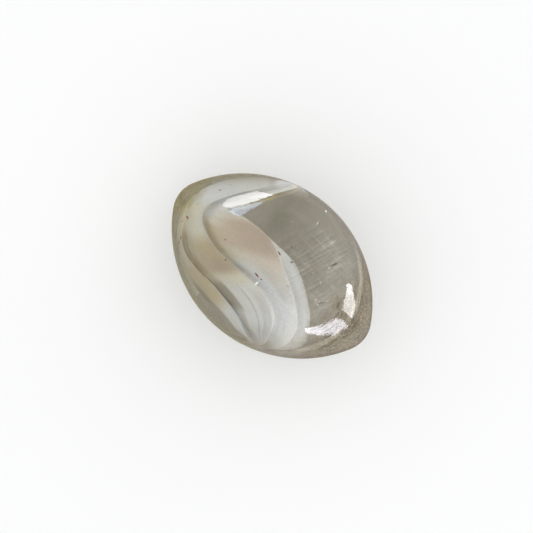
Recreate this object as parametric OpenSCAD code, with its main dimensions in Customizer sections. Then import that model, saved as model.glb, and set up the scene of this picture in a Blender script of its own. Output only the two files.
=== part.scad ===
// Football-shaped marble of clear glass with a folded white swirl inside it.
// The marble lies along X, with +Z up and its centre at the origin.
// Angles round the marble count from the top: 90 is the +Y side and -90 is the -Y side.

/* [Marble] */
// Length from tip to tip
marble_length = 32; // [29:0.5:35]
// Diameter round the belly
marble_diameter = 22.4; // [20:0.2:24]
// Radius of the rounded tips
tip_radius = 4.3; // [3.6:0.1:5]

/* [White swirl] */
// Depth of the folds' lips below the surface
lip_depth = 1; // [0.8:0.1:1.4]
// Extra depth of the front edge, which runs under the first lip
front_edge_drop = 0.7; // [0.4:0.1:1]
// How far the two large folds drop behind their lips
fold_drop = 2.5; // [1.6:0.1:2.8]
// How far each crease runs on under the next lip, as a share of the fold
fold_lean = 0.8; // [0.5:0.05:0.9]
// Share of its drop that the first fold keeps where it calms down on the -Y side
calm_share = 0.35; // [0.2:0.05:0.7]
// Width at which a fold reaches its full drop
full_fold_width = 2.5; // [2:0.1:4]
// Depth of white glass between the sheet's two faces
sheet_depth = 1.1; // [0.7:0.1:1.4]
// How much deeper the sheet runs where it turns under at the -Y side
turn_drop = 2.5; // [0:0.1:3]

/* [Smoothness] */
// Steps between two points of a lip
steps_along = 3; // [2:1:3]
// Steps across the sheet
steps_across = 24; // [18:1:26]

/* [Hidden] */

half_length = marble_length / 2;
belly_radius = marble_diameter / 2;

// The flanks are one arc that meets each round tip without a corner.
flank_radius = (half_length ^ 2 - 2 * half_length * tip_radius + belly_radius ^ 2)
    / (2 * (belly_radius - tip_radius));
flank_centre = flank_radius - belly_radius;
tip_centre = half_length - tip_radius;
flank_end = flank_radius * tip_centre / (flank_radius - tip_radius);

// The sheet closes on itself round the marble. Each lip is a loop of points, and each
// point is [share of the half length, degrees round the marble].
front_edge = [
    [-0.23, 81], [-0.36, 47], [-0.48, 28], [-0.58, 17], [-0.38, 17.5], [-0.14, 15],
    [0.13, 12], [0.34, 2], [0.52, -14], [0.61, -33], [0.63, -56], [0.48, -82],
    [0.18, -112], [-0.18, -152], [-0.40, -192], [-0.36, -235]
];
first_lip = [
    [-0.25, 82], [-0.38, 48], [-0.50, 29], [-0.60, 16], [-0.40, 17], [-0.16, 14],
    [0.08, 3.5], [0.25, -5.5], [0.385, -15], [0.49, -31], [0.50, -56], [0.41, -80],
    [0.13, -113], [-0.23, -152], [-0.45, -192], [-0.40, -235]
];
second_lip = [
    [-0.32, 84], [-0.49, 53], [-0.62, 36], [-0.73, 18], [-0.75, 0], [-0.68, -12],
    [-0.50, -18], [-0.28, -18], [-0.04, -18], [0.17, -24], [0.32, -42], [0.33, -76],
    [0.05, -114], [-0.32, -152], [-0.52, -192], [-0.46, -235]
];
leaf_lip = [
    [-0.39, 86], [-0.70, 65], [-0.84, 46], [-0.90, 19], [-0.91, -6], [-0.86, -35],
    [-0.72, -52], [-0.52, -48], [-0.30, -43], [-0.06, -46], [0.11, -55], [0.26, -80],
    [-0.01, -115], [-0.39, -152], [-0.58, -192], [-0.51, -235]
];
outer_edge = [
    [-0.40, 86], [-0.72, 66], [-0.85, 47], [-0.92, 20], [-0.93, -8], [-0.92, -38],
    [-0.83, -66], [-0.62, -72], [-0.37, -66], [-0.12, -64], [0.06, -70], [0.22, -82],
    [-0.06, -116], [-0.44, -152], [-0.62, -192], [-0.55, -235]
];
lips = [front_edge, first_lip, second_lip, leaf_lip, outer_edge];
lip_depths = [lip_depth + front_edge_drop, lip_depth, lip_depth, lip_depth, lip_depth];

// Share of fold_drop behind each lip, and where on the last fold the sheet ends
drop_shares = [0.7, 1, 1, 0.2];
sheet_end = 3.36;
// Where round the loop the first fold is calmest, and how far from there it calms, in points
calm_place = 9.5;
calm_reach = 3.5;
// How much of a fold's drop comes late, near its crease
drop_power = 1.5;
// Sideways step, in folds, of the back face for each millimetre that it lies deeper
back_slant = 0.94 * fold_lean / fold_drop;
// Width over which the sheet thins to each edge, in folds, and what is left there
edge_taper = 0.5;
edge_share = 0.25;
// Angle at which turn_drop is greatest, and how closely it keeps to that side
turn_angle = -100;
turn_power = 8;

loop_points = len(front_edge);
rings = loop_points * steps_along;
ring_points = 2 * (steps_across + 1);

// Radius of the marble at x
function radius_at(x) = abs(x) < flank_end
    ? sqrt(flank_radius ^ 2 - x ^ 2) - flank_centre
    : sqrt(max(tip_radius ^ 2 - (abs(x) - tip_centre) ^ 2, 0));

// Outward direction of the surface at x, as [along X, away from the axis]
function outward_at(x) = abs(x) < flank_end
    ? [x, sqrt(flank_radius ^ 2 - x ^ 2)] / flank_radius
    : [sign(x) * (abs(x) - tip_centre), radius_at(x)] / tip_radius;

// Point under the surface. The depth closes up towards the axis and never passes it.
function under_surface(x, angle, depth) = let (
        out = outward_at(x),
        reach = radius_at(x) / out[1],
        inward = reach * (1 - exp(-depth / reach)),
        r = radius_at(x) - inward * out[1]
    ) [x - inward * out[0], r * sin(angle), r * cos(angle)];

// Point i of a lip, in millimetres and degrees, counted on round the loop
function lip_point(lip, i) = let (turns = floor(i / loop_points), p = lip[i - turns * loop_points])
    [p[0] * half_length, p[1] - 360 * turns];

// Smooth curve through a lip's points
function lip_at(lip, t) = let (
        i = floor(t),
        f = t - i,
        a = lip_point(lip, i - 1),
        b = lip_point(lip, i),
        c = lip_point(lip, i + 1),
        d = lip_point(lip, i + 2)
    ) b + (c - a) * f / 2 + (2 * a - 5 * b + 4 * c - d) * f ^ 2 / 2 + (3 * b - a - 3 * c + d) * f ^ 3 / 2;

// Width of each fold at one place of the loop
function fold_widths(row) = [
    for (k = [0 : len(row) - 2]) let (
        step = row[k + 1] - row[k],
        r = (radius_at(row[k][0]) + radius_at(row[k + 1][0])) / 2
    ) norm([step[0], step[1] * PI * r / 180])
];

// Share of its drop that fold k keeps at place t of the loop
function calm_at(k, t) = k != 1 ? 1
    : 1 - (1 - calm_share) * cos(90 * min(1, abs(t - calm_place) / calm_reach)) ^ 2;

// A fold is as tall as its own width and the next one's allow.
function fold_share(widths, k, t) = calm_at(k, t)
    * min(1, min(widths[k], widths[min(k + 1, len(widths) - 1)]) / full_fold_width) ^ drop_power;

// Place p across the sheet, at a depth: 0 is the front edge, 1 the first lip, and so on
function sheet_point(row, p, depth) = let (
        k = min(floor(p), len(row) - 2),
        place = row[k] + (row[k + 1] - row[k]) * (p - k),
        turn = turn_drop * max(0, cos(place[1] - turn_angle)) ^ turn_power
    ) under_surface(place[0], place[1], depth + turn);

// Thickness in depth at step s, thinned at both edges
function sheet_depth_at(s) = sheet_depth
    * min(1, edge_share + s / edge_taper) * min(1, edge_share + (sheet_end - s) / edge_taper);

// One face across the sheet: a leaning wave with a lip at each whole step
function sheet_face(row, t, back) = let (widths = fold_widths(row)) [
    for (j = [0 : steps_across]) let (
        s = sheet_end * j / steps_across,
        k = min(floor(s), len(row) - 2),
        share = fold_share(widths, k, t),
        wave = sin(180 * s) ^ 2,
        base = lip_depths[k] + (lip_depths[k + 1] - lip_depths[k]) * (s - k),
        drop = fold_drop * drop_shares[k] * share * wave ^ drop_power,
        deeper = back ? sheet_depth_at(s) : 0
    ) sheet_point(row, s + fold_lean * share * wave + back_slant * deeper, base + drop + deeper)
];

// One closed ring: the front face across, then the back face on the way home
function sheet_ring(t) = let (
        row = [for (lip = lips) lip_at(lip, t)],
        front = sheet_face(row, t, false),
        back = sheet_face(row, t, true)
    ) concat(front, [for (j = [steps_across : -1 : 0]) back[j]]);

// Clear glass body, before the swirl is taken out of it
module marble_body() {
    rotate([0, 90, 0])
    rotate_extrude($fn = 180)
    union() {
        intersection() {
            translate([-flank_centre, 0]) circle(r = flank_radius, $fn = 360);
            translate([0, -flank_end]) square([belly_radius, 2 * flank_end]);
        }
        for (end = [0, 1]) mirror([0, end]) intersection() {
            translate([0, tip_centre]) circle(r = tip_radius, $fn = 180);
            translate([0, flank_end]) square([tip_radius, tip_radius]);
        }
    }
}

// Folded sheet of white glass, one closed loop round the marble
module swirl_sheet() {
    points = [for (i = [0 : rings - 1]) each sheet_ring(i / steps_along)];
    function at(i, j) = (i % rings) * ring_points + j % ring_points;
    polyhedron(
        points = points,
        faces = [for (i = [0 : rings - 1], j = [0 : ring_points - 1], half = [0, 1])
            half == 0
                ? [at(i, j), at(i + 1, j + 1), at(i, j + 1)]
                : [at(i, j), at(i + 1, j), at(i + 1, j + 1)]
        ]
    );
}

module clear_glass() {
    color([0.62, 0.60, 0.54, 0.45]) difference() {
        marble_body();
        swirl_sheet();
    }
}

module white_swirl() {
    color([0.86, 0.87, 0.83]) swirl_sheet();
}

clear_glass();
white_swirl();
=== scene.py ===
"""Looks for a football-shaped glass marble: clear glass round one folded white swirl.

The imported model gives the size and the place. The glass keeps its outer form and gets a fine
surface, and the swirl is built again from the same lips and folds as the model, in smaller steps.
Lengths are metres unless a name ends in _mm, angles are degrees, and angles round the marble
count from the top: 90 is the +Y side and -90 is the -Y side.
"""

import logging
import math
from collections.abc import Mapping, Sequence
from dataclasses import dataclass, field
from enum import Enum
from typing import Any

import bpy
import numpy as np
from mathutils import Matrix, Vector


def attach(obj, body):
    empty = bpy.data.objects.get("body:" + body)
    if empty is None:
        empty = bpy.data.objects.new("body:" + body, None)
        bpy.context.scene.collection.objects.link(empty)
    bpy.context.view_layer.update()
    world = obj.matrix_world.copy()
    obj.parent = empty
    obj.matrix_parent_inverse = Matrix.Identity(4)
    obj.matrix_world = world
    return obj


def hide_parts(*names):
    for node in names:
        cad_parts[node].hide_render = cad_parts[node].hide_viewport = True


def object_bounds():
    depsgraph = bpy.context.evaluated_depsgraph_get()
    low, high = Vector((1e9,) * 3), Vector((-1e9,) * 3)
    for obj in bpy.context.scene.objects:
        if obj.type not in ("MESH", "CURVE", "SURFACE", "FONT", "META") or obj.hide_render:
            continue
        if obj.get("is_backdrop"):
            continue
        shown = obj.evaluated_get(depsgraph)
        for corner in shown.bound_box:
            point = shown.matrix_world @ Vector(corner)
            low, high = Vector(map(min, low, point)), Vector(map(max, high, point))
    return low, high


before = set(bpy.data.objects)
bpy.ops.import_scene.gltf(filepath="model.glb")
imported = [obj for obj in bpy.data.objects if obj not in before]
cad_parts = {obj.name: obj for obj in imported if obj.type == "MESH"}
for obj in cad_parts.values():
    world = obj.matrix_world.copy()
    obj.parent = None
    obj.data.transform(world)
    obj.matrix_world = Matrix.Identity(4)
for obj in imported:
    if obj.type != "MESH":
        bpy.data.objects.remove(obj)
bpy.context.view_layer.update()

log = logging.getLogger("marble")
MM = 0.001
Span = tuple[float, float]
Triple = tuple[float, float, float]
Rail = Sequence[Span]
Stops = Sequence[tuple[float, str]]

# Settings that many nodes share: a soft-ended range, two ways to mix colours, and three sums
SOFT = {"interpolation_type": "SMOOTHSTEP"}
BLEND = {"data_type": "RGBA"}
TINT = {"data_type": "RGBA", "blend_type": "MULTIPLY"}
TIMES = {"operation": "MULTIPLY"}
TIMES_PLUS = {"operation": "MULTIPLY_ADD"}
LESS = {"operation": "SUBTRACT"}


def linear(hex_colour: str, alpha: float = 1.0) -> tuple[float, float, float, float]:
    """Turns an sRGB hex colour into linear RGBA.

    Args:
        hex_colour: Six hex digits, with or without a leading #.
        alpha: Alpha to append.

    Returns:
        The linear colour and the alpha.
    """
    digits = hex_colour.lstrip("#")
    parts = [int(digits[i:i + 2], 16) / 255 for i in (0, 2, 4)]
    red, green, blue = (c / 12.92 if c <= 0.04045 else ((c + 0.055) / 1.055) ** 2.4 for c in parts)
    return red, green, blue, alpha


def add_node(
    tree: bpy.types.NodeTree,
    kind: str,
    inputs: Mapping[Any, Any] | Sequence[Any] = (),
    output: int | str = 0,
    **settings: Any,
) -> Any:
    """Adds one shader node with its settings, socket values and links.

    Args:
        tree: Node tree that takes the node.
        kind: Blender's name of the node type, without its ShaderNode.
        inputs: Values of the inputs, by name or place or simply in order. A socket is linked, a
            hex colour is turned to linear, and anything else is set as it is.
        output: The output to give back, by name or place.
        settings: Settings of the node itself.

    Returns:
        The output's socket, or None for a node that has no output.
    """
    node = tree.nodes.new(f"ShaderNode{kind}")
    for name, value in settings.items():
        setattr(node, name, value)
    values = inputs.items() if isinstance(inputs, Mapping) else enumerate(inputs)
    for name, value in values:
        if isinstance(value, bpy.types.NodeSocket):
            tree.links.new(value, node.inputs[name])
        else:
            node.inputs[name].default_value = linear(value) if isinstance(value, str) else value
    return node.outputs[output] if node.outputs else None


def new_material(name: str) -> tuple[bpy.types.Material, bpy.types.NodeTree]:
    """Makes a material with an empty node tree.

    Args:
        name: Name of the material.

    Returns:
        The material and its tree.
    """
    material = bpy.data.materials.new(name)
    material.use_nodes = True
    material.node_tree.nodes.clear()
    return material, material.node_tree


def new_mesh_piece(
    name: str,
    points: np.ndarray,
    faces: Sequence[Sequence[int]],
    material: bpy.types.Material,
) -> bpy.types.Object:
    """Makes a smooth mesh object and links it to the scene.

    Args:
        name: Name of the piece.
        points: Vertices in metres, one row each.
        faces: Vertex indices of each face, outward side counter-clockwise.
        material: Material of the whole piece.

    Returns:
        The new object.
    """
    mesh = bpy.data.meshes.new(name)
    mesh.from_pydata(points.tolist(), [], [list(face) for face in faces])
    mesh.shade_smooth()
    mesh.validate()
    mesh.materials.append(material)
    piece = bpy.data.objects.new(name, mesh)
    bpy.context.scene.collection.objects.link(piece)
    return piece


def store_attribute(
    piece: bpy.types.Object, name: str, values: np.ndarray, domain: str = "POINT"
) -> None:
    """Keeps one number for each vertex or face corner, for the material to read.

    Args:
        piece: Mesh object.
        name: Name of the attribute.
        values: The numbers, in the mesh's order.
        domain: POINT for vertices, CORNER for face corners.
    """
    layer = piece.data.attributes.new(name, "FLOAT", domain)
    layer.data.foreach_set("value", np.asarray(values, np.float32).ravel())


# ---------------------------------------------------------------------------------------------
# Form
# ---------------------------------------------------------------------------------------------


@dataclass(frozen=True)
class MarbleForm:
    """Outer form: two flank arcs that meet round tips without a corner, turned about X."""

    length_mm: float = 32.0
    diameter_mm: float = 22.4
    tip_radius_mm: float = 4.3

    @property
    def half_length(self) -> float:
        """Half of the length, in millimetres."""
        return self.length_mm / 2

    @property
    def flank_radius(self) -> float:
        """Radius of the flanks, in millimetres."""
        half, belly, tip = self.half_length, self.diameter_mm / 2, self.tip_radius_mm
        return (half ** 2 - 2 * half * tip + belly ** 2) / (2 * (belly - tip))

    @property
    def flank_centre(self) -> float:
        """Distance of a flank's centre beyond the axis, in millimetres."""
        return self.flank_radius - self.diameter_mm / 2

    @property
    def tip_centre(self) -> float:
        """Place of a round tip's centre along X, in millimetres."""
        return self.half_length - self.tip_radius_mm

    @property
    def flank_end(self) -> float:
        """Place along X where a flank meets a tip, in millimetres."""
        return self.flank_radius * self.tip_centre / (self.flank_radius - self.tip_radius_mm)

    def radius_at(self, x: np.ndarray) -> np.ndarray:
        """Radius of the marble at x, in millimetres."""
        flank = np.sqrt(np.maximum(self.flank_radius ** 2 - x ** 2, 0)) - self.flank_centre
        past = np.abs(x) - self.tip_centre
        tip = np.sqrt(np.maximum(self.tip_radius_mm ** 2 - past ** 2, 0))
        return np.where(np.abs(x) < self.flank_end, flank, tip)

    def outward_at(self, x: np.ndarray) -> tuple[np.ndarray, np.ndarray]:
        """Outward direction of the surface.

        Args:
            x: Places along the axis, in millimetres.

        Returns:
            The direction's share along X and its share away from the axis.
        """
        on_flank = np.abs(x) < self.flank_end
        past = np.abs(x) - self.tip_centre
        along = np.where(on_flank, x / self.flank_radius, np.sign(x) * past / self.tip_radius_mm)
        return along, np.sqrt(np.maximum(1 - along ** 2, 1e-9))

    def under_surface(self, x: np.ndarray, angle: np.ndarray, depth: np.ndarray) -> np.ndarray:
        """Points under the surface. The depth closes up towards the axis and never passes it.

        Args:
            x: Places along the axis, in millimetres.
            angle: Degrees round the marble from the top.
            depth: Depths below the surface, in millimetres.

        Returns:
            One row of X, Y and Z in millimetres for each point.
        """
        along, away = self.outward_at(x)
        reach = self.radius_at(x) / away
        inward = reach * (1 - np.exp(-depth / reach))
        r = self.radius_at(x) - inward * away
        turn = np.radians(angle)
        return np.stack([x - inward * along, r * np.sin(turn), r * np.cos(turn)], axis=-1)


FORM = MarbleForm()


# ---------------------------------------------------------------------------------------------
# Finishes
# ---------------------------------------------------------------------------------------------


@dataclass(frozen=True)
class SoftPatch:
    """Soft round patch of the glass, by its middle and how far it reaches each way."""

    centre_mm: Triple
    reach_mm: Triple
    colour_hex: str = "#ffffff"
    full_within: float = 0.25

    def share(self, tree: bpy.types.NodeTree, in_mm: Any) -> Any:
        """Works out how far a spot lies in the patch.

        Args:
            tree: The material's node tree.
            in_mm: Socket of the place in millimetres.

        Returns:
            The socket that is 1 in the middle and 0 outside.
        """
        aside = add_node(tree, "VectorMath", [in_mm, self.centre_mm], **LESS)
        scaled = add_node(tree, "VectorMath", [aside, self.reach_mm], operation="DIVIDE")
        length = add_node(tree, "VectorMath", [scaled], "Value", operation="LENGTH")
        return add_node(tree, "MapRange", [length, 1.0, self.full_within], **SOFT)


@dataclass(frozen=True)
class SkinSpot:
    """Sockets that the layers of the glass share at one spot of its skin.

    The hairlines, the wrinkles and the grain are noises. The others run from 0 to 1: how far the
    spot is seen edge-on, whether it is seen from inside or outside, and how far it lies on the
    olive side, in the haze, at a tip or where a tip is rubbed.
    """

    tree: bpy.types.NodeTree
    in_mm: Any
    facing: Any
    inside: Any
    outside: Any
    olive_side: Any
    haze: Any
    tips: Any
    rubbed: Any
    hairlines: Sequence[Any]
    wrinkles: Any
    grain: Any


@dataclass(frozen=True)
class ClearGlass:
    """Pressed soda-lime glass, fire-polished and then played with.

    It gives the eye a wet shine over a grey-olive depth. It is greener in a band beside the
    swirl. Where the skin is seen edge-on its colour is painted shade: darker all round, darker
    and more olive towards -X and -Y, with a painted shade from inside at shallow angles on the
    +X underside, and a matt layer of painted shade over it. Play has left it hazed by hairline
    scratches that run two ways over the crown. Both tips are rubbed matt, grainy and finely
    wrinkled, apart from their undersides.

    Facing counts from 0, seen squarely, to 1, seen edge-on, and levels are those of a noise.
    """

    roughness: float = 0.02
    ior: float = 1.5
    tint_hex: str = "#b5ab86"
    tint_per_m: float = 15.0
    body_hex: str = "#efece3"
    tints: tuple[SoftPatch, ...] = (
        SoftPatch((-2.0, 7.0, 8.0), (5.5, 7.0, 8.0), "#eceae4"),
        SoftPatch((-3.0, 6.0, 8.5), (2.2, 5.5, 6.0), "#e4ebe2"),
    )
    # Painted shade where the skin is seen edge-on: edge, more olive towards -X and -Y, darkest at
    # the rim
    facing_blend: float = 0.35
    edge_hex: str = "#8e7868"
    edge_facing: Span = (0.1, 0.8)
    olive_hex: str = "#5f5631"
    olive_facing: Span = (0.15, 0.6)
    olive_way: Triple = (-0.8, -0.6, 0.0)
    olive_mm: Span = (0.0, 5.0)
    rim_hex: str = "#59503f"
    rim_facing: Span = (0.45, 0.75)
    # Painted shade seen from inside at shallow angles, over the +X underside
    inner_shade: SoftPatch = SoftPatch((6.0, 0.5, -10.0), (7.5, 5.5, 5.5), "#686152")
    inner_shade_facing: Span = (0.14, 0.175)
    # The painted edge shade is held back here, where the swirl comes up to the skin
    pale_side: SoftPatch = SoftPatch((-4.4, 9.6, 4.0), (2.8, 3.2, 3.4))
    haze: SoftPatch = SoftPatch((6.0, 3.5, 8.5), (10.5, 10.5, 10.0))
    haze_share: float = 0.02
    # Hairlines are drawn about twice as wide and as far apart as real ones, so that they show
    scratch_turns: tuple[float, ...] = (68.0, -8.0)
    scratch_gap_mm: float = 0.25
    scratch_length_mm: float = 5.0
    scratch_levels: Span = (0.5, 0.7)
    scratch_tones: tuple[float, ...] = (0.9, 0.5)
    scratch_shares: tuple[float, ...] = (0.15, 0.08)
    tips_middle_mm: float = -2.05
    tips_mm: Span = (10.35, 13.4)
    tips_wave_mm: float = 2.5
    tips_uneven_mm: float = 4.0
    plain_below_mm: Span = (-4.5, -0.5)
    rubbed_hex: str = "#a49681"
    rubbed_olive_hex: str = "#a09266"
    rubbed_share: float = 0.36
    # Painted shade: a dark matt layer where the skin is seen edge-on, darker still towards the rim
    edge_shade_share: float = 0.7
    edge_shade_facing: Span = (0.36, 0.78)
    edge_shade_tone: float = 0.68
    edge_shade_tone_facing: Span = (0.4, 0.65)
    grain_mm: float = 0.28
    grain_tone: float = 0.35
    grain_levels: Span = (0.35, 0.65)
    least_grain: float = 0.2
    pit_share: float = 0.12
    pit_levels: Span = (0.55, 0.75)
    wrinkle_mm: Span = (1.6, 0.25)
    wrinkle_height_mm: float = 0.022
    wrinkle_hex: str = "#adac96"
    dark_levels: Span = (0.5, 0.3)
    light_levels: Span = (0.52, 0.75)
    light_share: float = 0.2
    wrinkled_side_mm: Span = (2.5, 0.0)
    least_wrinkle: float = 0.1
    wave_mm: float = 0.9
    wave_height_mm: float = 0.006

    def material(self) -> bpy.types.Material:
        """Builds the material."""
        material, tree = new_material("pressed_clear_glass")
        spot = self.spot(tree)
        relief = self.relief(spot)
        # The rubbed tips' worn colour, which also carries the matt layer's painted edge shade
        wear_and_shade_colour = add_node(tree, "Mix", {0: spot.olive_side, 6: self.rubbed_hex,
                                         7: self.rubbed_olive_hex}, 2, **BLEND)
        colour = add_node(tree, "Mix", {0: spot.rubbed, 6: self.skin(spot), 7: wear_and_shade_colour}, 2, **BLEND)
        for lines, depth in zip(spot.hairlines, self.scratch_tones):
            tone = add_node(tree, "Math", [lines, depth, 1 - depth / 2], **TIMES_PLUS)
            colour = add_node(tree, "Mix", {0: spot.haze, 6: colour, 7: tone}, 2, **TINT)
        # Painted shade: the matt layer darkens where the skin is seen edge-on
        dusk = add_node(tree, "MapRange", [spot.facing, *self.edge_shade_tone_facing, 1.0, self.edge_shade_tone])
        wear_and_shade_colour = add_node(tree, "Mix", {0: 1.0, 6: wear_and_shade_colour, 7: dusk}, 2, **TINT)
        tone = self.worn_tone(spot)
        colour, matt_colour = (add_node(tree, "Mix", {0: 1.0, 6: below, 7: tone}, 2, **TINT)
                               for below in (colour, wear_and_shade_colour))
        glass = add_node(tree, "BsdfPrincipled", {
            "Base Color": colour, "IOR": self.ior, "Transmission Weight": self.clear_share(spot),
            "Roughness": self.roughness, "Normal": relief,
        })
        # The matt layer: rubbed tips and pits, and painted shade where the skin is seen edge-on
        matt_and_shade = add_node(tree, "BsdfDiffuse", {"Color": matt_colour, "Normal": relief})
        surface = add_node(tree, "MixShader", [self.matt_share(spot), glass, matt_and_shade])
        depth = add_node(tree, "VolumeAbsorption", {
            "Color": self.tint_hex, "Density": self.tint_per_m,
        })
        add_node(tree, "OutputMaterial", {"Surface": surface, "Volume": depth})
        return material

    def spot(self, tree: bpy.types.NodeTree) -> SkinSpot:
        """Works out what the layers share.

        Args:
            tree: The material's node tree.

        Returns:
            The sockets.
        """
        place = add_node(tree, "TexCoord", output="Object")
        in_mm = add_node(tree, "VectorMath", {0: place, "Scale": 1 / MM}, operation="SCALE")
        facing = add_node(tree, "LayerWeight", {"Blend": self.facing_blend}, "Facing")
        not_pale = add_node(tree, "Math", [1.0, self.pale_side.share(tree, in_mm)], **LESS)
        facing = add_node(tree, "Math", [facing, not_pale], **TIMES)
        inside = add_node(tree, "NewGeometry", output="Backfacing")
        outside = add_node(tree, "Math", [1.0, inside], **LESS)
        olive_side = add_node(tree, "VectorMath", [in_mm, self.olive_way], "Value",
                              operation="DOT_PRODUCT")
        olive_side = add_node(tree, "MapRange", [olive_side, *self.olive_mm], **SOFT)
        tips = self.tips(tree, in_mm)
        upper = add_node(tree, "SeparateXYZ", [in_mm], "Z")
        upper = add_node(tree, "MapRange", [upper, *self.plain_below_mm], **SOFT)
        rubbed = add_node(tree, "Math", [tips, outside], **TIMES)
        rubbed = add_node(tree, "Math", [rubbed, upper], **TIMES)
        run, gap = self.wrinkle_mm
        level = add_node(tree, "VectorMath", [in_mm, (run, run, gap)], operation="DIVIDE")
        return SkinSpot(
            tree=tree, in_mm=in_mm, facing=facing, inside=inside, outside=outside,
            olive_side=olive_side, haze=self.haze.share(tree, in_mm), tips=tips, rubbed=rubbed,
            hairlines=[self.hairlines(tree, in_mm, turn) for turn in self.scratch_turns],
            wrinkles=add_node(tree, "TexNoise", {"Vector": level, "Scale": 1.0, "Detail": 3}),
            grain=add_node(tree, "TexNoise", {"Vector": in_mm, "Scale": 1 / self.grain_mm}))

    def skin(self, spot: SkinSpot) -> Any:
        """Colour of the skin: body, tinted patches, and painted shade where the skin is seen
        edge-on and where it is seen from inside at shallow angles.

        Args:
            spot: The shared sockets.

        Returns:
            The colour's socket.
        """
        tree, in_mm, facing = spot.tree, spot.in_mm, spot.facing
        colour: Any = self.body_hex
        for tint in self.tints:
            colour = add_node(tree, "Mix", {0: tint.share(tree, in_mm), 6: colour,
                                            7: tint.colour_hex}, 2, **TINT)
        # Painted shade: darker where the skin is seen edge-on, and more olive towards -X and -Y
        edge, olive = (
            add_node(tree, "Mix", {0: add_node(tree, "MapRange", [facing, *span], **SOFT),
                                   6: colour, 7: hex_colour}, 2, **BLEND)
            for span, hex_colour in ((self.edge_facing, self.edge_hex),
                                     (self.olive_facing, self.olive_hex)))
        skin = add_node(tree, "Mix", {0: spot.olive_side, 6: edge, 7: olive}, 2, **BLEND)
        # Painted shade: darker still at the rim
        rim = add_node(tree, "MapRange", [facing, *self.rim_facing], **SOFT)
        skin = add_node(tree, "Mix", {0: rim, 6: skin, 7: self.rim_hex}, 2, **TINT)
        # Painted shade: seen from inside at shallow angles, the skin darkens over the +X underside
        deep = add_node(tree, "MapRange", [facing, *self.inner_shade_facing], **SOFT)
        deep = add_node(tree, "Math", [spot.inside, deep], **TIMES)
        deep = add_node(tree, "Math", [self.inner_shade.share(tree, in_mm), deep], **TIMES)
        return add_node(tree, "Mix", {0: deep, 6: skin, 7: self.inner_shade.colour_hex}, 2, **TINT)

    def tips(self, tree: bpy.types.NodeTree, in_mm: Any) -> Any:
        """Works out where the tips are rubbed.

        Args:
            tree: The material's node tree.
            in_mm: Socket of the place in millimetres.

        Returns:
            The socket that is 1 on a rubbed tip and 0 on the flanks, with an uneven edge.
        """
        along = add_node(tree, "SeparateXYZ", [in_mm])
        reach = add_node(tree, "Math", [along, self.tips_middle_mm], **LESS)
        reach = add_node(tree, "Math", [reach], operation="ABSOLUTE")
        uneven = add_node(tree, "TexNoise", {"Vector": in_mm, "Scale": 1 / self.tips_wave_mm})
        reach = add_node(tree, "Math", [uneven, self.tips_uneven_mm, reach], **TIMES_PLUS)
        start, end = (edge + self.tips_uneven_mm / 2 for edge in self.tips_mm)
        return add_node(tree, "MapRange", [reach, start, end], **SOFT)

    def hairlines(self, tree: bpy.types.NodeTree, in_mm: Any, turn: float) -> Any:
        """Hairline scratches that all run one way.

        Args:
            tree: The material's node tree.
            in_mm: Socket of the place in millimetres.
            turn: Degrees from X to the scratches' way.

        Returns:
            The socket that is high in a scratch and low beside it.
        """
        turned = add_node(tree, "Mapping", {
            "Vector": in_mm, "Rotation": (0, 0, -math.radians(turn))})
        size = (self.scratch_length_mm, self.scratch_gap_mm, self.scratch_length_mm)
        drawn = add_node(tree, "VectorMath", [turned, size], operation="DIVIDE")
        return add_node(tree, "TexNoise", {"Vector": drawn, "Scale": 1.0, "Detail": 3})

    def worn_tone(self, spot: SkinSpot) -> Any:
        """Tone of the worn skin: dark wrinkles on the rubbed tips, and grain all over.

        Args:
            spot: The shared sockets.

        Returns:
            The socket of the tone that the colours are multiplied by.
        """
        tree = spot.tree
        dark = add_node(tree, "MapRange", [spot.wrinkles, *self.dark_levels], **SOFT)
        dark = add_node(tree, "Math", [dark, spot.rubbed], **TIMES)
        tone = add_node(tree, "Mix", {0: dark, 6: "#ffffff", 7: self.wrinkle_hex}, 2, **BLEND)
        grain = add_node(tree, "MapRange", [spot.grain, *self.grain_levels, 1 - self.grain_tone,
                                            1 + self.grain_tone / 2])
        grainy = add_node(tree, "MapRange", [spot.rubbed, 0.0, 1.0, self.least_grain, 1.0])
        return add_node(tree, "Mix", {0: grainy, 6: tone, 7: grain}, 2, **TINT)

    def matt_share(self, spot: SkinSpot) -> Any:
        """Share of the matt layer: the rubbed tips, fine pits, and painted shade where the skin is
        seen edge-on.

        Args:
            spot: The shared sockets.

        Returns:
            The share's socket.
        """
        tree = spot.tree
        # Painted shade where the skin is seen edge-on
        matt_and_shade = add_node(tree, "MapRange", [spot.facing, *self.edge_shade_facing, 0.0,
                                             self.edge_shade_share])
        pits = add_node(tree, "MapRange", [spot.grain, *self.pit_levels, 0.0, self.pit_share],
                        **SOFT)
        matt = add_node(tree, "Math", [spot.rubbed, self.rubbed_share, matt_and_shade], **TIMES_PLUS)
        matt = add_node(tree, "Math", [matt, pits], operation="ADD")
        return add_node(tree, "Math", [matt, spot.outside], **TIMES, use_clamp=True)

    def clear_share(self, spot: SkinSpot) -> Any:
        """Share of the polished glass that light goes through: not the haze and light wrinkles.

        Args:
            spot: The shared sockets.

        Returns:
            The share's socket.
        """
        tree = spot.tree
        scuff: Any = self.haze_share
        for lines, share in zip(spot.hairlines, self.scratch_shares):
            line = add_node(tree, "MapRange", [lines, *self.scratch_levels, 0.0, share], **SOFT)
            scuff = add_node(tree, "Math", [line, scuff], operation="ADD")
        scuff = add_node(tree, "Math", [scuff, spot.haze], **TIMES)
        light = add_node(tree, "MapRange", [spot.wrinkles, *self.light_levels, 0.0,
                                            self.light_share], **SOFT)
        scuff = add_node(tree, "Math", [light, spot.rubbed, scuff], **TIMES_PLUS)
        return add_node(tree, "Math", [1.0, scuff], **LESS, use_clamp=True)

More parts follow.
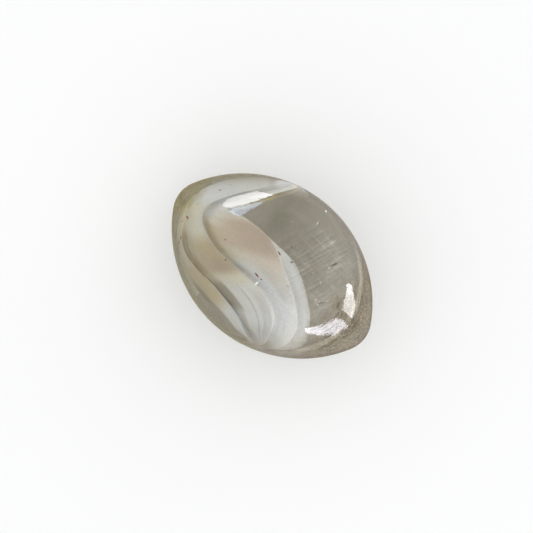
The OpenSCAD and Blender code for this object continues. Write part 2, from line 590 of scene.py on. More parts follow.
    def relief(self, spot: SkinSpot) -> Any:
        """Relief of the skin: slight waves all over, and wrinkles at the tips.

        Args:
            spot: The shared sockets.

        Returns:
            The normal's socket.
        """
        tree = spot.tree
        waves = add_node(tree, "TexNoise", {"Vector": spot.in_mm, "Scale": 1 / self.wave_mm})
        waves = add_node(tree, "Math", [waves, self.wave_height_mm], **TIMES)
        aside = add_node(tree, "SeparateXYZ", [spot.in_mm], "Y")
        folds = add_node(tree, "MapRange", [aside, *self.wrinkled_side_mm, self.least_wrinkle],
                         **SOFT)
        folds = add_node(tree, "Math", [folds, spot.tips], **TIMES)
        folds = add_node(tree, "Math", [spot.wrinkles, folds], **TIMES)
        height = add_node(tree, "Math", [folds, self.wrinkle_height_mm, waves], **TIMES_PLUS)
        return add_node(tree, "Bump", {"Height": height, "Distance": MM})


@dataclass(frozen=True)
class Patch:
    """One soft-edged patch of the sheet, from and to in steps across and places along it."""

    across: Span
    along: Span
    edge_across: float
    edge_along: float
    colour_hex: str
    share: float

    def over(self, tree: bpy.types.NodeTree, across: Any, along: Any, colour: Any) -> Any:
        """Lays the patch over a colour.

        Args:
            tree: The material's node tree.
            across: Socket of the step across the sheet.
            along: Socket of the place round the loop, counted in points.
            colour: Socket of the colour below.

        Returns:
            The new colour's socket.
        """
        share: Any = self.share
        for value, (start, end), edge in ((across, self.across, self.edge_across),
                                          (along, self.along, self.edge_along)):
            for outer, inner in ((start - edge, start), (end + edge, end)):
                inside = add_node(tree, "MapRange", [value, outer, inner], **SOFT)
                share = add_node(tree, "Math", [inside, share], **TIMES)
        return add_node(tree, "Mix", {0: share, 6: colour, 7: self.colour_hex}, 2, **BLEND)


@dataclass(frozen=True)
class OpalGlass:
    """Opal glass, drawn out and folded while hot.

    It gives the eye a milky white with no edge to its shade. Along their length the lanes turn
    from milk to cream, tan, olive and grey: partly the grey-olive glass through the sheet where
    it was stretched thin, and partly painted light and shade, lightest where the sheet is lit most
    and darker in the middle and where the sheet turns under at the -Y rim. Each lane holds
    (place round the loop, colour name), and its crease has colours of its own, which paint shade
    into the creases and in places lighten them. Thin streaks were drawn out along the lanes.
    """

    loop_points: int = 16
    palette: dict[str, str] = field(default_factory=lambda: {
        "milk": "#fbfdff", "ivory": "#faf8f4", "cream": "#f8efdc", "rose": "#f0e6db",
        "sand": "#ece1c9", "tan": "#dacabb", "dun": "#d0c0a9", "olive": "#dccfb2",
        "khaki": "#d6c8a8", "moss": "#c9bb98", "drab": "#a89f7e", "smoke": "#b5ae9a",
        "slate": "#c4c6c4", "dusk": "#cfcdcb", "pearl": "#e2e4e4", "frost": "#f0f3f4",
    })
    # The stops paint light and shade along the lanes as well as the sheet's own tones
    front_edge: Stops = (
        (0, "smoke"), (1.5, "smoke"), (2.5, "pearl"), (4.5, "cream"), (5.5, "pearl"),
        (6.6, "slate"), (8.2, "slate"), (9.2, "dusk"), (10, "slate"), (11, "smoke"), (13, "ivory"))
    front_crease: Stops = (
        (0, "smoke"), (1.2, "smoke"), (2.5, "pearl"), (4.5, "cream"), (5.5, "ivory"),
        (6.5, "milk"), (8.5, "milk"), (9.5, "ivory"), (11, "dusk"), (13, "ivory"))
    first_lane: Stops = (
        (0, "milk"), (1, "milk"), (2, "pearl"), (3.1, "milk"), (3.7, "rose"), (4.4, "tan"),
        (5.4, "tan"), (6.0, "rose"), (6.8, "ivory"), (7.5, "milk"), (9.6, "milk"),
        (10.3, "pearl"), (11, "smoke"), (13, "ivory"))
    first_crease: Stops = (
        (0, "milk"), (3.7, "milk"), (4.4, "cream"), (4.9, "khaki"), (5.5, "dun"),
        (6.1, "moss"), (6.6, "cream"), (7.0, "milk"), (11, "milk"), (13, "ivory"))
    second_lane: Stops = (
        (0, "pearl"), (1, "milk"), (2.6, "milk"), (3.3, "ivory"), (4.0, "cream"), (5.2, "cream"),
        (6, "khaki"), (7.1, "dun"), (7.7, "cream"), (8.3, "ivory"), (9.6, "frost"),
        (10.2, "pearl"), (11, "dusk"), (13, "ivory"))
    second_crease: Stops = (
        (0, "dusk"), (1, "milk"), (2.5, "ivory"), (3.6, "cream"), (4.8, "olive"), (5.6, "sand"),
        (6.4, "sand"), (7.2, "khaki"), (8.2, "sand"), (9, "pearl"), (10, "milk"), (11, "dusk"),
        (13, "ivory"))
    leaf: Stops = (
        (0, "dusk"), (2.5, "drab"), (3.6, "drab"), (4.5, "khaki"), (5.4, "sand"), (6.2, "cream"),
        (7.4, "olive"), (8.4, "olive"), (9.2, "ivory"), (10.2, "ivory"), (11, "smoke"),
        (12.4, "drab"), (14, "ivory"))
    crease_levels: Span = (0.3, 0.9)
    front_edge_steps: Span = (0.04, 0.26)
    lip_softness: float = 0.06
    streak_hex: str = "#a7a195"
    streak_steps: float = 0.07
    streak_points: float = 1.2
    streak_share: float = 0.2
    streak_levels: Span = (0.5, 0.75)
    streak_start: Span = (6.0, 8.5)
    streak_end: Span = (16.0, 13.0)
    least_streak: float = 0.2
    grain_mm: float = 0.25
    grain_hex: str = "#d8d2c4"
    grain_share: float = 0.2
    grain_levels: Span = (0.4, 0.7)
    roughness: float = 0.6
    scatter: Triple = (1.0, 0.9, 0.8)
    scatter_mm: float = 1.6
    patches: tuple[Patch, ...] = (
        # Painted shade in the first crease, beside the second lip
        Patch((1.36, 1.7), (4.8, 7.1), 0.06, 0.8, "#86795c", 0.6),
        # Painted shade along the second lip
        Patch((2.0, 2.11), (8.8, 10.5), 0.03, 0.8, "#8f8f8d", 0.25),
        Patch((2.172, 2.182), (8.4, 10.2), 0.008, 0.6, "#7b776e", 0.25),
        Patch((1.04, 1.14), (6.7, 7.7), 0.08, 0.7, "#c6bcb2", 0.4),
        # Painted shade: the dark slit in the deep crease under the leaf's lip, lighter further down
        Patch((2.3, 2.6), (8.2, 9.0), 0.03, 0.6, "#989386", 0.85),
        Patch((2.32, 2.6), (9.4, 10.4), 0.03, 0.5, "#aaa8a0", 0.4),
        Patch((3.28, 3.5), (8.0, 11.0), 0.06, 0.8, "#8c8774", 0.75),
    )

    def material(self) -> bpy.types.Material:
        """Builds the material."""
        material, tree = new_material("folded_opal_glass")
        across, along, crease = (
            add_node(tree, "Attribute", output="Fac", attribute_name=name)
            for name in ("across", "along", "crease"))
        place = add_node(tree, "Math", [along, self.loop_points], **TIMES)
        colour = self.lanes(tree, across, along, crease)
        streaks = self.streaks(tree, across, place)
        colour = add_node(tree, "Mix", {0: streaks, 6: colour, 7: self.streak_hex}, 2, **BLEND)
        spot = add_node(tree, "TexCoord", output="Object")
        grain = add_node(tree, "TexNoise", {"Vector": spot, "Scale": 1 / (self.grain_mm * MM)})
        speck = add_node(tree, "MapRange", [grain, *self.grain_levels, 0.0, self.grain_share],
                         **SOFT)
        colour = add_node(tree, "Mix", {0: speck, 6: colour, 7: self.grain_hex}, 2, **TINT)
        for patch in self.patches:
            colour = patch.over(tree, across, place, colour)
        glass = add_node(tree, "BsdfPrincipled", {
            "Base Color": colour, "Roughness": self.roughness, "Specular IOR Level": 0.0,
            "Subsurface Weight": 1.0, "Subsurface Radius": self.scatter,
            "Subsurface Scale": self.scatter_mm * MM,
        })
        add_node(tree, "OutputMaterial", {"Surface": glass})
        return material

    def lanes(self, tree: bpy.types.NodeTree, across: Any, along: Any, crease: Any) -> Any:
        """Colours of all the lanes, each from its lip to its crease, with painted light and shade
        along them and painted shade in the creases.

        Args:
            tree: The material's node tree.
            across: Socket of the step across the sheet.
            along: Socket of the place round the loop, from 0 to 1.
            crease: Socket of how deep in a crease the spot lies, from 0 to 1.

        Returns:
            The colour's socket.
        """
        thick = add_node(tree, "MapRange", [across, *self.front_edge_steps], **SOFT)
        colour = add_node(tree, "Mix", {0: thick, 6: self.lane(tree, along, self.front_edge),
                                        7: self.lane(tree, along, self.front_crease)}, 2, **BLEND)
        # Painted shade: the crease colours take over deeper in each crease
        deep = add_node(tree, "MapRange", [crease, *self.crease_levels], **SOFT)
        folds = ((self.first_lane, self.first_crease), (self.second_lane, self.second_crease),
                 (self.leaf, self.leaf))
        for step, (lip, hollow) in enumerate(folds, start=1):
            lane = add_node(tree, "Mix", {0: deep, 6: self.lane(tree, along, lip),
                                          7: self.lane(tree, along, hollow)}, 2, **BLEND)
            past = add_node(tree, "MapRange", [across, step - self.lip_softness, step], **SOFT)
            colour = add_node(tree, "Mix", {0: past, 6: colour, 7: lane}, 2, **BLEND)
        return colour

    def streaks(self, tree: bpy.types.NodeTree, across: Any, place: Any) -> Any:
        """Works out where thin streaks run along the sheet.

        Args:
            tree: The material's node tree.
            across: Socket of the step across the sheet.
            place: Socket of the place round the loop, counted in points.

        Returns:
            The socket of the streaks' share, which fades out where the loop closes.
        """
        drawn = add_node(tree, "CombineXYZ", [
            add_node(tree, "Math", [across, self.streak_steps], operation="DIVIDE"),
            add_node(tree, "Math", [place, self.streak_points], operation="DIVIDE")])
        noise = add_node(tree, "TexNoise", {"Vector": drawn, "Scale": 1.0, "Detail": 4})
        share = add_node(tree, "MapRange", [noise, *self.streak_levels, 0.0, self.streak_share],
                         **SOFT)
        for fade in ([*self.streak_start, self.least_streak], self.streak_end):
            faded = add_node(tree, "MapRange", [place, *fade], **SOFT)
            share = add_node(tree, "Math", [share, faded], **TIMES)
        return share

    def lane(self, tree: bpy.types.NodeTree, along: Any, stops: Stops) -> Any:
        """Colours of one lane along its length.

        Args:
            tree: The material's node tree.
            along: Socket of the place round the loop, from 0 to 1.
            stops: Places round the loop and colour names.

        Returns:
            The colour's socket. The loop closes in the colour that it starts in.
        """
        stops = [*stops, (self.loop_points, stops[0][1])]
        colour = add_node(tree, "ValToRGB", [along])
        ramp = colour.node.color_ramp
        ramp.interpolation = "EASE"
        while len(ramp.elements) < len(stops):
            ramp.elements.new(0.5)
        for element, (place, _) in zip(ramp.elements, stops):
            element.position = place / self.loop_points
        for element, (_, name) in zip(ramp.elements, stops):
            element.color = linear(self.palette[name])
        return colour


class MarkKind(Enum):
    """What a small mark in the skin is, with its colour."""

    RUST = "#8a4a2e"
    DIRT = "#5f5645"
    # Small chips: bright white, partly their crushed glass and partly a painted glint
    CHIP_GLINT = "#fbf8f2"


@dataclass(frozen=True)
class MarkFinish:
    """Iron scale and dust worked into the skin, and small chips.

    Scale is a matt rusty brown and dust is a dull grey-brown. The chips are a bright white that
    is partly their crushed glass and partly a painted glint.
    """

    kind: MarkKind
    roughness: float = 0.8
    grain_mm: float = 0.15
    grain_levels: Span = (0.3, 0.7)
    darkest: float = 0.75

    def material(self) -> bpy.types.Material:
        """Builds the material."""
        material, tree = new_material(f"{self.kind.name.lower()}_in_the_skin")
        place = add_node(tree, "TexCoord", output="Object")
        grain = add_node(tree, "TexNoise", {"Vector": place, "Scale": 1 / (self.grain_mm * MM)})
        shade = add_node(tree, "MapRange", [grain, *self.grain_levels, self.darkest, 1.0], **SOFT)
        colour = add_node(tree, "Mix", {0: 1.0, 6: self.kind.value, 7: shade}, 2, **TINT)
        matt = add_node(tree, "BsdfPrincipled", {
            "Base Color": colour, "Roughness": self.roughness, "Specular IOR Level": 0.2,
        })
        add_node(tree, "OutputMaterial", {"Surface": matt})
        return material


@dataclass(frozen=True)
class PaleFloor:
    """Matt pale laminate that the marble lies on."""

    colour_hex: str = "#eeeae5"
    roughness: float = 0.9

    def material(self) -> bpy.types.Material:
        """Builds the material."""
        material, tree = new_material("matt_pale_floor")
        matt = add_node(tree, "BsdfPrincipled", {
            "Base Color": self.colour_hex, "Roughness": self.roughness, "Specular IOR Level": 0.2,
        })
        add_node(tree, "OutputMaterial", {"Surface": matt})
        return material


# ---------------------------------------------------------------------------------------------
# Pieces
# ---------------------------------------------------------------------------------------------


@dataclass
class GlassBody:
    """The clear glass, as one closed skin with no pole at its tips."""

    form: MarbleForm = FORM
    steps: int = 96
    weld: float = 1e-6

    def build(self) -> bpy.types.Object:
        """Builds the skin from the six sides of a rounded cube, welded along their edges.

        Returns:
            The glass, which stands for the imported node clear_glass.
        """
        grid = np.tan(np.linspace(-math.pi / 4, math.pi / 4, self.steps + 1))
        u, v = np.meshgrid(grid, grid, indexing="ij")
        one = np.ones_like(u)
        sides = [(one, u, v), (-one, v, u), (v, one, u), (u, -one, v), (u, v, one), (v, u, -one)]
        rays = np.concatenate([np.stack(side, -1).reshape(-1, 3) for side in sides])
        rays /= np.linalg.norm(rays, axis=1, keepdims=True)
        keys = np.round(rays / self.weld).astype(np.int64)
        _, first, same = np.unique(keys, axis=0, return_index=True, return_inverse=True)
        same = same.ravel()
        rays = rays[first]
        points = self.wrap(rays) * MM
        row = self.steps + 1
        corner = np.arange(self.steps)[:, None] * row + np.arange(self.steps)[None, :]
        quads = []
        for side in range(6):
            base = (corner + side * row * row).ravel()
            quads.append(same[np.stack([base, base + row, base + row + 1, base + 1], -1)])
        piece = new_mesh_piece("clear_marble_glass", points, np.concatenate(quads).tolist(),
                               ClearGlass().material())
        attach(piece, "root")
        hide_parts("clear_glass")
        return piece

    def wrap(self, rays: np.ndarray) -> np.ndarray:
        """Lays directions from the centre on the marble, evenly along its profile.

        Args:
            rays: Unit directions, one row each.

        Returns:
            Points on the surface, in millimetres.
        """
        form = self.form
        flank_turn = math.asin(form.flank_end / form.flank_radius)
        flank_run = flank_turn * form.flank_radius
        tip_run = (math.pi / 2 - flank_turn) * form.tip_radius_mm
        run = np.arcsin(np.clip(rays[:, 0], -1, 1)) / (math.pi / 2) * (flank_run + tip_run)
        tip_turn = flank_turn + (np.abs(run) - flank_run) / form.tip_radius_mm
        on_flank = np.abs(run) < flank_run
        x = np.where(on_flank, form.flank_radius * np.sin(run / form.flank_radius),
                     np.sign(run) * (form.tip_centre + form.tip_radius_mm * np.sin(tip_turn)))
        r = np.where(on_flank,
                     form.flank_radius * np.cos(run / form.flank_radius) - form.flank_centre,
                     form.tip_radius_mm * np.cos(tip_turn))
        aside = np.hypot(rays[:, 1], rays[:, 2])
        aside[aside < 1e-9] = 1
        return np.stack([x, r * rays[:, 1] / aside, r * rays[:, 2] / aside], axis=-1)


@dataclass
class WhiteSwirl:
    """Folded sheet of white glass, one closed loop round the marble.

    Each rail is a lip, as points of (share of the half length, degrees round the marble).
    """

    form: MarbleForm = FORM
    lip_depth_mm: float = 1.0
    front_edge_drop_mm: float = 0.7
    fold_drop_mm: float = 2.5
    fold_lean: float = 0.8
    full_fold_width_mm: float = 2.5
    sheet_depth_mm: float = 1.1
    turn_drop_mm: float = 2.5
    turn_angle: float = -100.0
    turn_power: float = 8.0
    drop_power: float = 1.5
    drop_shares: tuple[float, ...] = (0.7, 1.0, 1.0, 0.2)
    calm_place: float = 9.5
    calm_reach: float = 3.5
    calm_share: float = 0.35
    sheet_end: float = 3.36
    edge_taper: float = 0.5
    edge_share: float = 0.25
    slant_share: float = 0.94
    steps_along: int = 14
    steps_across: int = 96
    front_edge: Rail = (
        (-0.23, 81), (-0.36, 47), (-0.48, 28), (-0.58, 17), (-0.38, 17.5), (-0.14, 15),
        (0.13, 12), (0.34, 2), (0.52, -14), (0.61, -33), (0.63, -56), (0.48, -82),
        (0.18, -112), (-0.18, -152), (-0.40, -192), (-0.36, -235),
    )
    first_lip: Rail = (
        (-0.25, 82), (-0.38, 48), (-0.50, 29), (-0.60, 16), (-0.40, 17), (-0.16, 14),
        (0.08, 3.5), (0.25, -5.5), (0.385, -15), (0.49, -31), (0.50, -56), (0.41, -80),
        (0.13, -113), (-0.23, -152), (-0.45, -192), (-0.40, -235),
    )
    second_lip: Rail = (
        (-0.32, 84), (-0.49, 53), (-0.62, 36), (-0.73, 18), (-0.75, 0), (-0.68, -12),
        (-0.50, -18), (-0.28, -18), (-0.04, -18), (0.17, -24), (0.32, -42), (0.33, -76),
        (0.05, -114), (-0.32, -152), (-0.52, -192), (-0.46, -235),
    )
    leaf_lip: Rail = (
        (-0.39, 86), (-0.70, 65), (-0.84, 46), (-0.90, 19), (-0.91, -6), (-0.86, -35),
        (-0.72, -52), (-0.52, -48), (-0.30, -43), (-0.06, -46), (0.11, -55), (0.26, -80),
        (-0.01, -115), (-0.39, -152), (-0.58, -192), (-0.51, -235),
    )
    outer_edge: Rail = (
        (-0.40, 86), (-0.72, 66), (-0.85, 47), (-0.92, 20), (-0.93, -8), (-0.92, -38),
        (-0.83, -66), (-0.62, -72), (-0.37, -66), (-0.12, -64), (0.06, -70), (0.22, -82),
        (-0.06, -116), (-0.44, -152), (-0.62, -192), (-0.55, -235),
    )

    def rail_at(self, rail: Rail, t: np.ndarray) -> np.ndarray:
        """Smooth closed curve through a rail's points.

        Args:
            rail: The rail.
            t: Places round the loop, counted in points.

        Returns:
            Millimetres along X and degrees round the marble, one row for each place.
        """
        points = np.array(rail, float) * (self.form.half_length, 1)
        count = len(points)

        def point(i: np.ndarray) -> np.ndarray:
            """The rail's point i, counted on round the loop."""
            return points[i % count] - np.stack([0 * i, 360.0 * (i // count)], -1)

        i = np.floor(t).astype(int)
        f = (t - i)[:, None]
        a, b, c, d = (point(i + k) for k in (-1, 0, 1, 2))
        return (b + (c - a) * f / 2 + (2 * a - 5 * b + 4 * c - d) * f ** 2 / 2
                + (3 * b - a - 3 * c + d) * f ** 3 / 2)

    def fold_shares(self, rows: np.ndarray, t: np.ndarray) -> np.ndarray:
        """Works out how much of its drop each fold keeps.

        A fold is as tall as its own width and the next one's allow. The fold behind the first
        lip is calmer round calm_place.

        Args:
            rows: Lip places, as [place round the loop, lip, (mm along X, degrees)].
            t: Places round the loop, counted in points.

        Returns:
            The shares from 0 to 1, as [place round the loop, fold].
        """
        gaps = np.diff(rows, axis=1)
        r = (self.form.radius_at(rows[:, :-1, 0]) + self.form.radius_at(rows[:, 1:, 0])) / 2
        widths = np.hypot(gaps[..., 0], gaps[..., 1] * math.pi * r / 180)
        next_widths = np.concatenate([widths[:, 1:], widths[:, -1:]], axis=1)
        shares = np.minimum(1, np.minimum(widths, next_widths)
                            / self.full_fold_width_mm) ** self.drop_power
        near = np.clip(np.abs(t - self.calm_place) / self.calm_reach, 0, 1)
        shares[:, 1] *= 1 - (1 - self.calm_share) * np.cos(near * math.pi / 2) ** 2
        return shares

    def sheet_depth_at(self, s: np.ndarray) -> np.ndarray:
        """Thickness of the sheet at each step across, in millimetres, thinned at both edges."""
        return (self.sheet_depth_mm * np.minimum(1, self.edge_share + s / self.edge_taper)
                * np.minimum(1, self.edge_share + (self.sheet_end - s) / self.edge_taper))

    def sheet_points(self, rows: np.ndarray, p: np.ndarray, depth: np.ndarray) -> np.ndarray:
        """Points of the sheet, which runs deeper where it turns under at the -Y side.

        Args:
            rows: Lip places, as [place round the loop, lip, (mm along X, degrees)].
            p: Places across the sheet: 0 is the front edge, 1 the first lip, and so on.
            depth: Depths below the marble's surface, in millimetres.

        Returns:
            The points as [place round the loop, step across, XYZ] in millimetres.
        """
        k = np.minimum(np.floor(p).astype(int), rows.shape[1] - 2)
        ring = np.arange(rows.shape[0])[:, None]
        place = rows[ring, k] + (rows[ring, k + 1] - rows[ring, k]) * (p - k)[..., None]
        turn = np.maximum(0, np.cos(np.radians(place[..., 1] - self.turn_angle)))
        depth = depth + self.turn_drop_mm * turn ** self.turn_power
        return self.form.under_surface(place[..., 0], place[..., 1], depth)

    def section(
        self, rows: np.ndarray, t: np.ndarray, back: bool
    ) -> tuple[np.ndarray, np.ndarray, np.ndarray]:
        """One face of the sheet: a leaning wave with a lip at each whole step.

        Args:
            rows: Lip places, as [place round the loop, lip, (mm along X, degrees)].
            t: Places round the loop, counted in points.
            back: Whether this is the back face.

        Returns:
            The points as [place, step, XYZ] in millimetres, the steps, and how deep in a crease
            each point lies, from 0 to 1.
        """
        s = np.linspace(0, self.sheet_end, self.steps_across + 1)
        k = np.minimum(np.floor(s).astype(int), rows.shape[1] - 2)
        lips = np.array([self.lip_depth_mm + self.front_edge_drop_mm] + [self.lip_depth_mm] * 4)
        base = lips[k] + (lips[k + 1] - lips[k]) * (s - k)
        share = self.fold_shares(rows, t)[:, k]
        wave = np.sin(np.pi * s) ** 2
        drop = (self.fold_drop_mm * np.array(self.drop_shares)[k] * share
                * wave ** self.drop_power)
        deeper = self.sheet_depth_at(s) if back else np.zeros_like(s)
        slant = self.slant_share * self.fold_lean / self.fold_drop_mm
        p = s + self.fold_lean * share * wave + slant * deeper
        return self.sheet_points(rows, p, base + drop + deeper), s, wave * share

    def build(self) -> bpy.types.Object:
        """Builds the sheet.

        Returns:
            The swirl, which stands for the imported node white_swirl.
        """
        rails = [self.front_edge, self.first_lip, self.second_lip, self.leaf_lip, self.outer_edge]
        count = len(self.front_edge)
        rings = count * self.steps_along
        t = np.arange(rings) / self.steps_along
        rows = np.stack([self.rail_at(rail, t) for rail in rails], axis=1)
        front, s, crease = self.section(rows, t, back=False)
        back, _, _ = self.section(rows, t, back=True)
        points = np.concatenate([front, back[:, ::-1]], axis=1)
        across = np.tile(np.concatenate([s, s[::-1]]), (rings, 1))
        creases = np.concatenate([crease, crease[:, ::-1]], axis=1)
        ring_points = points.shape[1]
        i, j = np.meshgrid(np.arange(rings), np.arange(ring_points), indexing="ij")
        i2, j2 = (i + 1) % rings, (j + 1) % ring_points
        quads = np.stack([i * ring_points + j, i * ring_points + j2, i2 * ring_points + j2,
                          i2 * ring_points + j], -1).reshape(-1, 4)
        piece = new_mesh_piece("white_swirl_sheet", points.reshape(-1, 3) * MM, quads.tolist(),
                               OpalGlass().material())
        store_attribute(piece, "across", across)
        store_attribute(piece, "crease", creases)
        # Kept on the corners, so that the last faces run on to 1 where the loop closes.
        store_attribute(piece, "along", np.stack([i, i, i + 1, i + 1], -1) / rings, "CORNER")
        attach(piece, "root")
        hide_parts("white_swirl")
        return piece


@dataclass(frozen=True)
class Mark:
    """One small mark, between two ends as (share of the half length, degrees round)."""

    start: Span
    end: Span
    width_mm: float


@dataclass
class SkinMarks:
    """Small marks in the glass's skin: slivers that follow it and taper to both ends."""

    form: MarbleForm = FORM
    rise_mm: float = 0.02
    end_share: float = 0.15
    steps: int = 10
    marks: Mapping[MarkKind, Sequence[Mark]] = field(default_factory=lambda: {
        MarkKind.RUST: (
            Mark((-0.817, -19.8), (-0.782, -20.0), 0.24),
            Mark((-0.825, -32.0), (-0.804, -29.7), 0.09), Mark((-0.039, 9.9), (0.0, 8.8), 0.17),
            Mark((-0.078, -10.8), (-0.026, -11.6), 0.2),
            Mark((-0.012, -11.6), (0.006, -11.6), 0.17),
            Mark((-0.437, -6.8), (-0.425, -6.4), 0.18), Mark((0.19, -4.1), (0.212, -4.6), 0.07),
        ),
        MarkKind.DIRT: (
            Mark((-0.823, -25.0), (-0.808, -30.7), 0.06),
            Mark((-0.75, -41.5), (-0.732, -46.8), 0.2),
            Mark((-0.732, -46.8), (-0.728, -56.0), 0.13),
            Mark((-0.966, 30.0), (-0.957, 32.3), 0.22), Mark((-0.737, 31.6), (-0.717, 31.6), 0.18),
            Mark((-0.694, 42.6), (-0.684, 43.5), 0.1),
            Mark((-0.336, -17.7), (-0.318, -17.5), 0.18), Mark((0.096, 9.2), (0.113, 10.7), 0.2),
            Mark((0.132, -15.1), (0.146, -15.3), 0.07), Mark((0.48, -1.0), (0.518, 3.4), 0.1),
            Mark((0.371, 27.6), (0.404, 33.9), 0.13), Mark((0.017, 18.3), (0.031, 18.0), 0.13),
            Mark((0.315, 72.8), (0.326, 72.8), 0.12),
        ),
        MarkKind.CHIP_GLINT: (
            Mark((-0.018, -17.6), (-0.008, -13.8), 0.3), Mark((0.438, 0.5), (0.453, 0.0), 0.14),
            Mark((0.527, 5.2), (0.532, 6.2), 0.12), Mark((0.474, -1.7), (0.494, -2.3), 0.1),
            Mark((0.369, 24.4), (0.376, 26.9), 0.07), Mark((0.287, 13.8), (0.298, 14.0), 0.08),
            Mark((0.383, 12.6), (0.4, 12.1), 0.08), Mark((0.069, 63.3), (0.066, 67.2), 0.28),
            Mark((-0.101, 33.0), (-0.092, 33.5), 0.1), Mark((0.066, 48.5), (0.078, 44.3), 0.08),
            Mark((0.252, 39.2), (0.279, 47.6), 0.05),
        ),
    })

    def build(self) -> list[bpy.types.Object]:
        """Builds one piece for each kind of mark.

        Returns:
            The pieces.
        """
        return [self.build_kind(kind) for kind in MarkKind]

    def build_kind(self, kind: MarkKind) -> bpy.types.Object:
        """Builds all the marks of one kind.

        Args:
            kind: The kind of mark.

        Returns:
            The piece.
        """
        points: list[np.ndarray] = []
        faces: list[list[int]] = []
        for mark in self.marks[kind]:
            first = sum(len(part) for part in points)
            points.append(self.sliver(mark))
            for i in range(self.steps):
                for j in range(4):
                    a, b = first + 4 * i + j, first + 4 * i + (j + 1) % 4
                    faces.append([a, a + 4, b + 4, b])
            last = first + 4 * self.steps
            faces.append([first, first + 1, first + 2, first + 3])
            faces.append([last + 3, last + 2, last + 1, last])
        piece = new_mesh_piece(f"{kind.name.lower()}_marks", np.concatenate(points) * MM, faces,
                               MarkFinish(kind).material())
        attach(piece, "root")
        return piece

    def sliver(self, mark: Mark) -> np.ndarray:
        """Points of one sliver: four round each place along it.

        Args:
            mark: The mark.

        Returns:
            One row of X, Y and Z in millimetres for each point.
        """
        form = self.form
        f = np.linspace(0, 1, self.steps + 1)
        x = (mark.start[0] + (mark.end[0] - mark.start[0]) * f) * form.half_length
        angle = mark.start[1] + (mark.end[1] - mark.start[1]) * f
        middle = form.under_surface(x, angle, np.zeros_like(x))
        along, away = form.outward_at(x)
        turn = np.radians(angle)
        outward = np.stack([along, away * np.sin(turn), away * np.cos(turn)], -1)
        aside = np.cross(outward, np.gradient(middle, axis=0))
        aside /= np.linalg.norm(aside, axis=1, keepdims=True)
        swell = self.end_share + (1 - self.end_share) * np.sin(math.pi * f)[:, None]
        wide, high = aside * swell * mark.width_mm / 2, outward * swell * self.rise_mm
        return np.stack([middle + wide, middle + high, middle - wide, middle - high],
                        1).reshape(-1, 3)


# ---------------------------------------------------------------------------------------------
# Studio
# ---------------------------------------------------------------------------------------------


@dataclass(frozen=True)
class WindowPane:
    """A bright pane that only shows as a glint on the glass.

    Its two long edges are the glint's own on the marble, each as points of (share of the half
    length, degrees round the marble). The pane stands where the line of sight goes on after the
    glass mirrors it. Its lower edge can be ragged, like a hedge behind a window sill.
    """

    name: str
    upper: Rail
    lower: Rail
    ragged: float = 0.0
    seed: int = 4
    distance: float = 0.1
    radiance: float = 8.5
    colour_hex: str = "#ffffff"
    steps: int = 72

    def build(self, form: MarbleForm, eye: Vector) -> bpy.types.Object:
        """Builds the pane.

        Args:
            form: The marble's form.
            eye: Place of the camera.

        Returns:
            The pane.
        """
        material, tree = new_material(self.name)
        glow = add_node(tree, "Emission", {"Color": self.colour_hex, "Strength": self.radiance})
        add_node(tree, "OutputMaterial", {"Surface": glow})
        upper, lower = self.edge(self.upper), self.edge(self.lower)
        draws = np.random.default_rng(self.seed)
        lower += (upper - lower) * draws.uniform(0, self.ragged, (len(lower), 1))
        points = np.array([self.mirrored(form, eye, *place) for place in (*upper, *lower)])
        row = self.steps + 1
        faces = [(i, i + 1, row + i + 1, row + i) for i in range(self.steps)]
        pane = new_mesh_piece(self.name, points, faces, material)
        pane.visible_camera = False
        pane.visible_diffuse = False
        pane.visible_transmission = False
        pane.visible_shadow = False
        pane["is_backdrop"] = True
        return pane

    def edge(self, rail: Rail) -> np.ndarray:
        """Points of one long edge, evenly spread over its stretches."""
        place = np.linspace(0, len(rail) - 1, self.steps + 1)
        known = np.arange(len(rail))
        return np.stack([np.interp(place, known, values) for values in zip(*rail)], -1)

    def mirrored(self, form: MarbleForm, eye: Vector, share: float, angle: float) -> Vector:
        """The place where sight from the eye goes on to after one spot of the glass.

        Args:
            form: The marble's form.
            eye: Place of the camera.
            share: The spot along the marble, as a share of its half length.
            angle: The spot's degrees round the marble.

        Returns:
            The place, in metres.
        """
        x = np.array(share * form.half_length)
        spot = Vector(form.under_surface(x, np.array(angle), np.array(0.0)) * MM)
        along, away = form.outward_at(x)
        turn = math.radians(angle)
        normal = Vector((float(along), float(away) * math.sin(turn), float(away) * math.cos(turn)))
        sight = (eye - spot).normalized()
        return spot + (2 * normal.dot(sight) * normal - sight) * self.distance


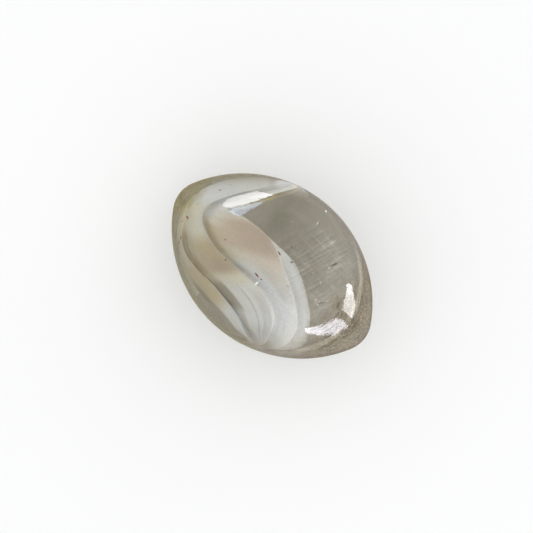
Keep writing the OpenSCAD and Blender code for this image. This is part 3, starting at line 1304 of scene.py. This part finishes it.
@dataclass
class Studio:
    """Pale floor, soft light from above and a camera that looks straight down."""

    form: MarbleForm = FORM
    sight_turn: float = 38.4
    sight_distance: float = 0.2015
    sight_aside_mm: Span = (-0.757, -0.077)
    lens_mm: float = 100.0
    sensor_mm: float = 36.0
    nearest: float = 0.01
    floor_size: float = 3.0
    world_hex: str = "#f5faff"
    world_strength: float = 1.25
    windows: tuple[WindowPane, ...] = (
        WindowPane(
            "window_pane_right",
            ((0.575, 30), (0.605, 33), (0.68, 29), (0.74, 24.5), (0.79, 11.5)),
            ((0.565, 29), (0.6, 24), (0.627, 18.5), (0.65, 12), (0.665, 9)), 0.15,
            radiance=15.0),
        WindowPane(
            "window_pane_right_low",
            ((0.52, -24.5), (0.58, -19.5), (0.637, -12), (0.672, -1.7), (0.74, 2.3), (0.79, 0)),
            ((0.53, -26), (0.58, -30), (0.683, -25), (0.763, -21), (0.78, -11.6), (0.795, -2)),
            0.3, radiance=17.0, colour_hex="#f3f2ff"),
        WindowPane(
            "window_pane_left",
            ((-0.628, 15), (-0.631, 22), (-0.612, 26.4), (-0.452, 46.4), (-0.292, 75.5)),
            ((-0.537, 17), (-0.5, 21.5), (-0.465, 25.5), (-0.36, 42), (-0.243, 73.3)), 0.25),
        WindowPane(
            "window_pane_left_dim",
            ((-0.557, 12.8), (-0.54, 17.4), (-0.457, 27), (-0.389, 36.2)),
            ((-0.459, 14), (-0.44, 19), (-0.428, 22.8), (-0.387, 31.5)),
            radiance=8.0, colour_hex="#d3e5ff"),
        WindowPane(
            "window_sill_left",
            ((-0.51, 19.5), (-0.465, 25.5), (-0.36, 42), (-0.29, 60)),
            ((-0.505, 19), (-0.452, 24.8), (-0.347, 41.2), (-0.282, 59)),
            radiance=5.0, colour_hex="#d8cf6c"),
    )

    def build(self) -> None:
        """Builds the camera, the floor, the world and the window panes."""
        self.add_camera()
        self.add_floor()
        self.add_world()
        eye = bpy.context.scene.camera.location
        for window in self.windows:
            window.build(self.form, eye)

    def add_camera(self) -> None:
        """Hangs the camera over the marble."""
        data = bpy.data.cameras.new("camera")
        data.lens = self.lens_mm
        data.sensor_width = self.sensor_mm
        data.clip_start = self.nearest
        camera = bpy.data.objects.new("camera", data)
        turn = math.radians(self.sight_turn)
        right = Vector((math.cos(turn), math.sin(turn), 0))
        up = Vector((-math.sin(turn), math.cos(turn), 0))
        aside, above = self.sight_aside_mm
        camera.location = (Vector((0, 0, self.sight_distance)) + right * aside * MM
                           + up * above * MM)
        camera.rotation_euler = (0, 0, turn)
        bpy.context.scene.collection.objects.link(camera)
        bpy.context.scene.camera = camera

    def add_floor(self) -> None:
        """Lays the floor under the marble."""
        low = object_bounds()[0][2]
        half = self.floor_size / 2
        corners = np.array([(-half, -half, low), (half, -half, low), (half, half, low),
                            (-half, half, low)])
        floor = new_mesh_piece("floor", corners, [(0, 1, 2, 3)], PaleFloor().material())
        floor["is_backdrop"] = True

    def add_world(self) -> None:
        """Fills the room with soft light."""
        world = bpy.data.worlds.new("soft_room")
        bpy.context.scene.world = world
        world.use_nodes = True
        tree = world.node_tree
        tree.nodes.clear()
        sky = add_node(tree, "Background", {
            "Color": self.world_hex, "Strength": self.world_strength})
        add_node(tree, "OutputWorld", {"Surface": sky})


def main() -> None:
    """Builds the pieces and the studio, and reports each piece."""
    logging.basicConfig(level=logging.INFO)
    for piece in (GlassBody().build(), WhiteSwirl().build(), *SkinMarks().build()):
        log.info("%s: %d faces", piece.name, len(piece.data.polygons))
    Studio().build()
    scene = bpy.context.scene
    scene.view_settings.view_transform = "Standard"


if __name__ == "__main__":
    main()
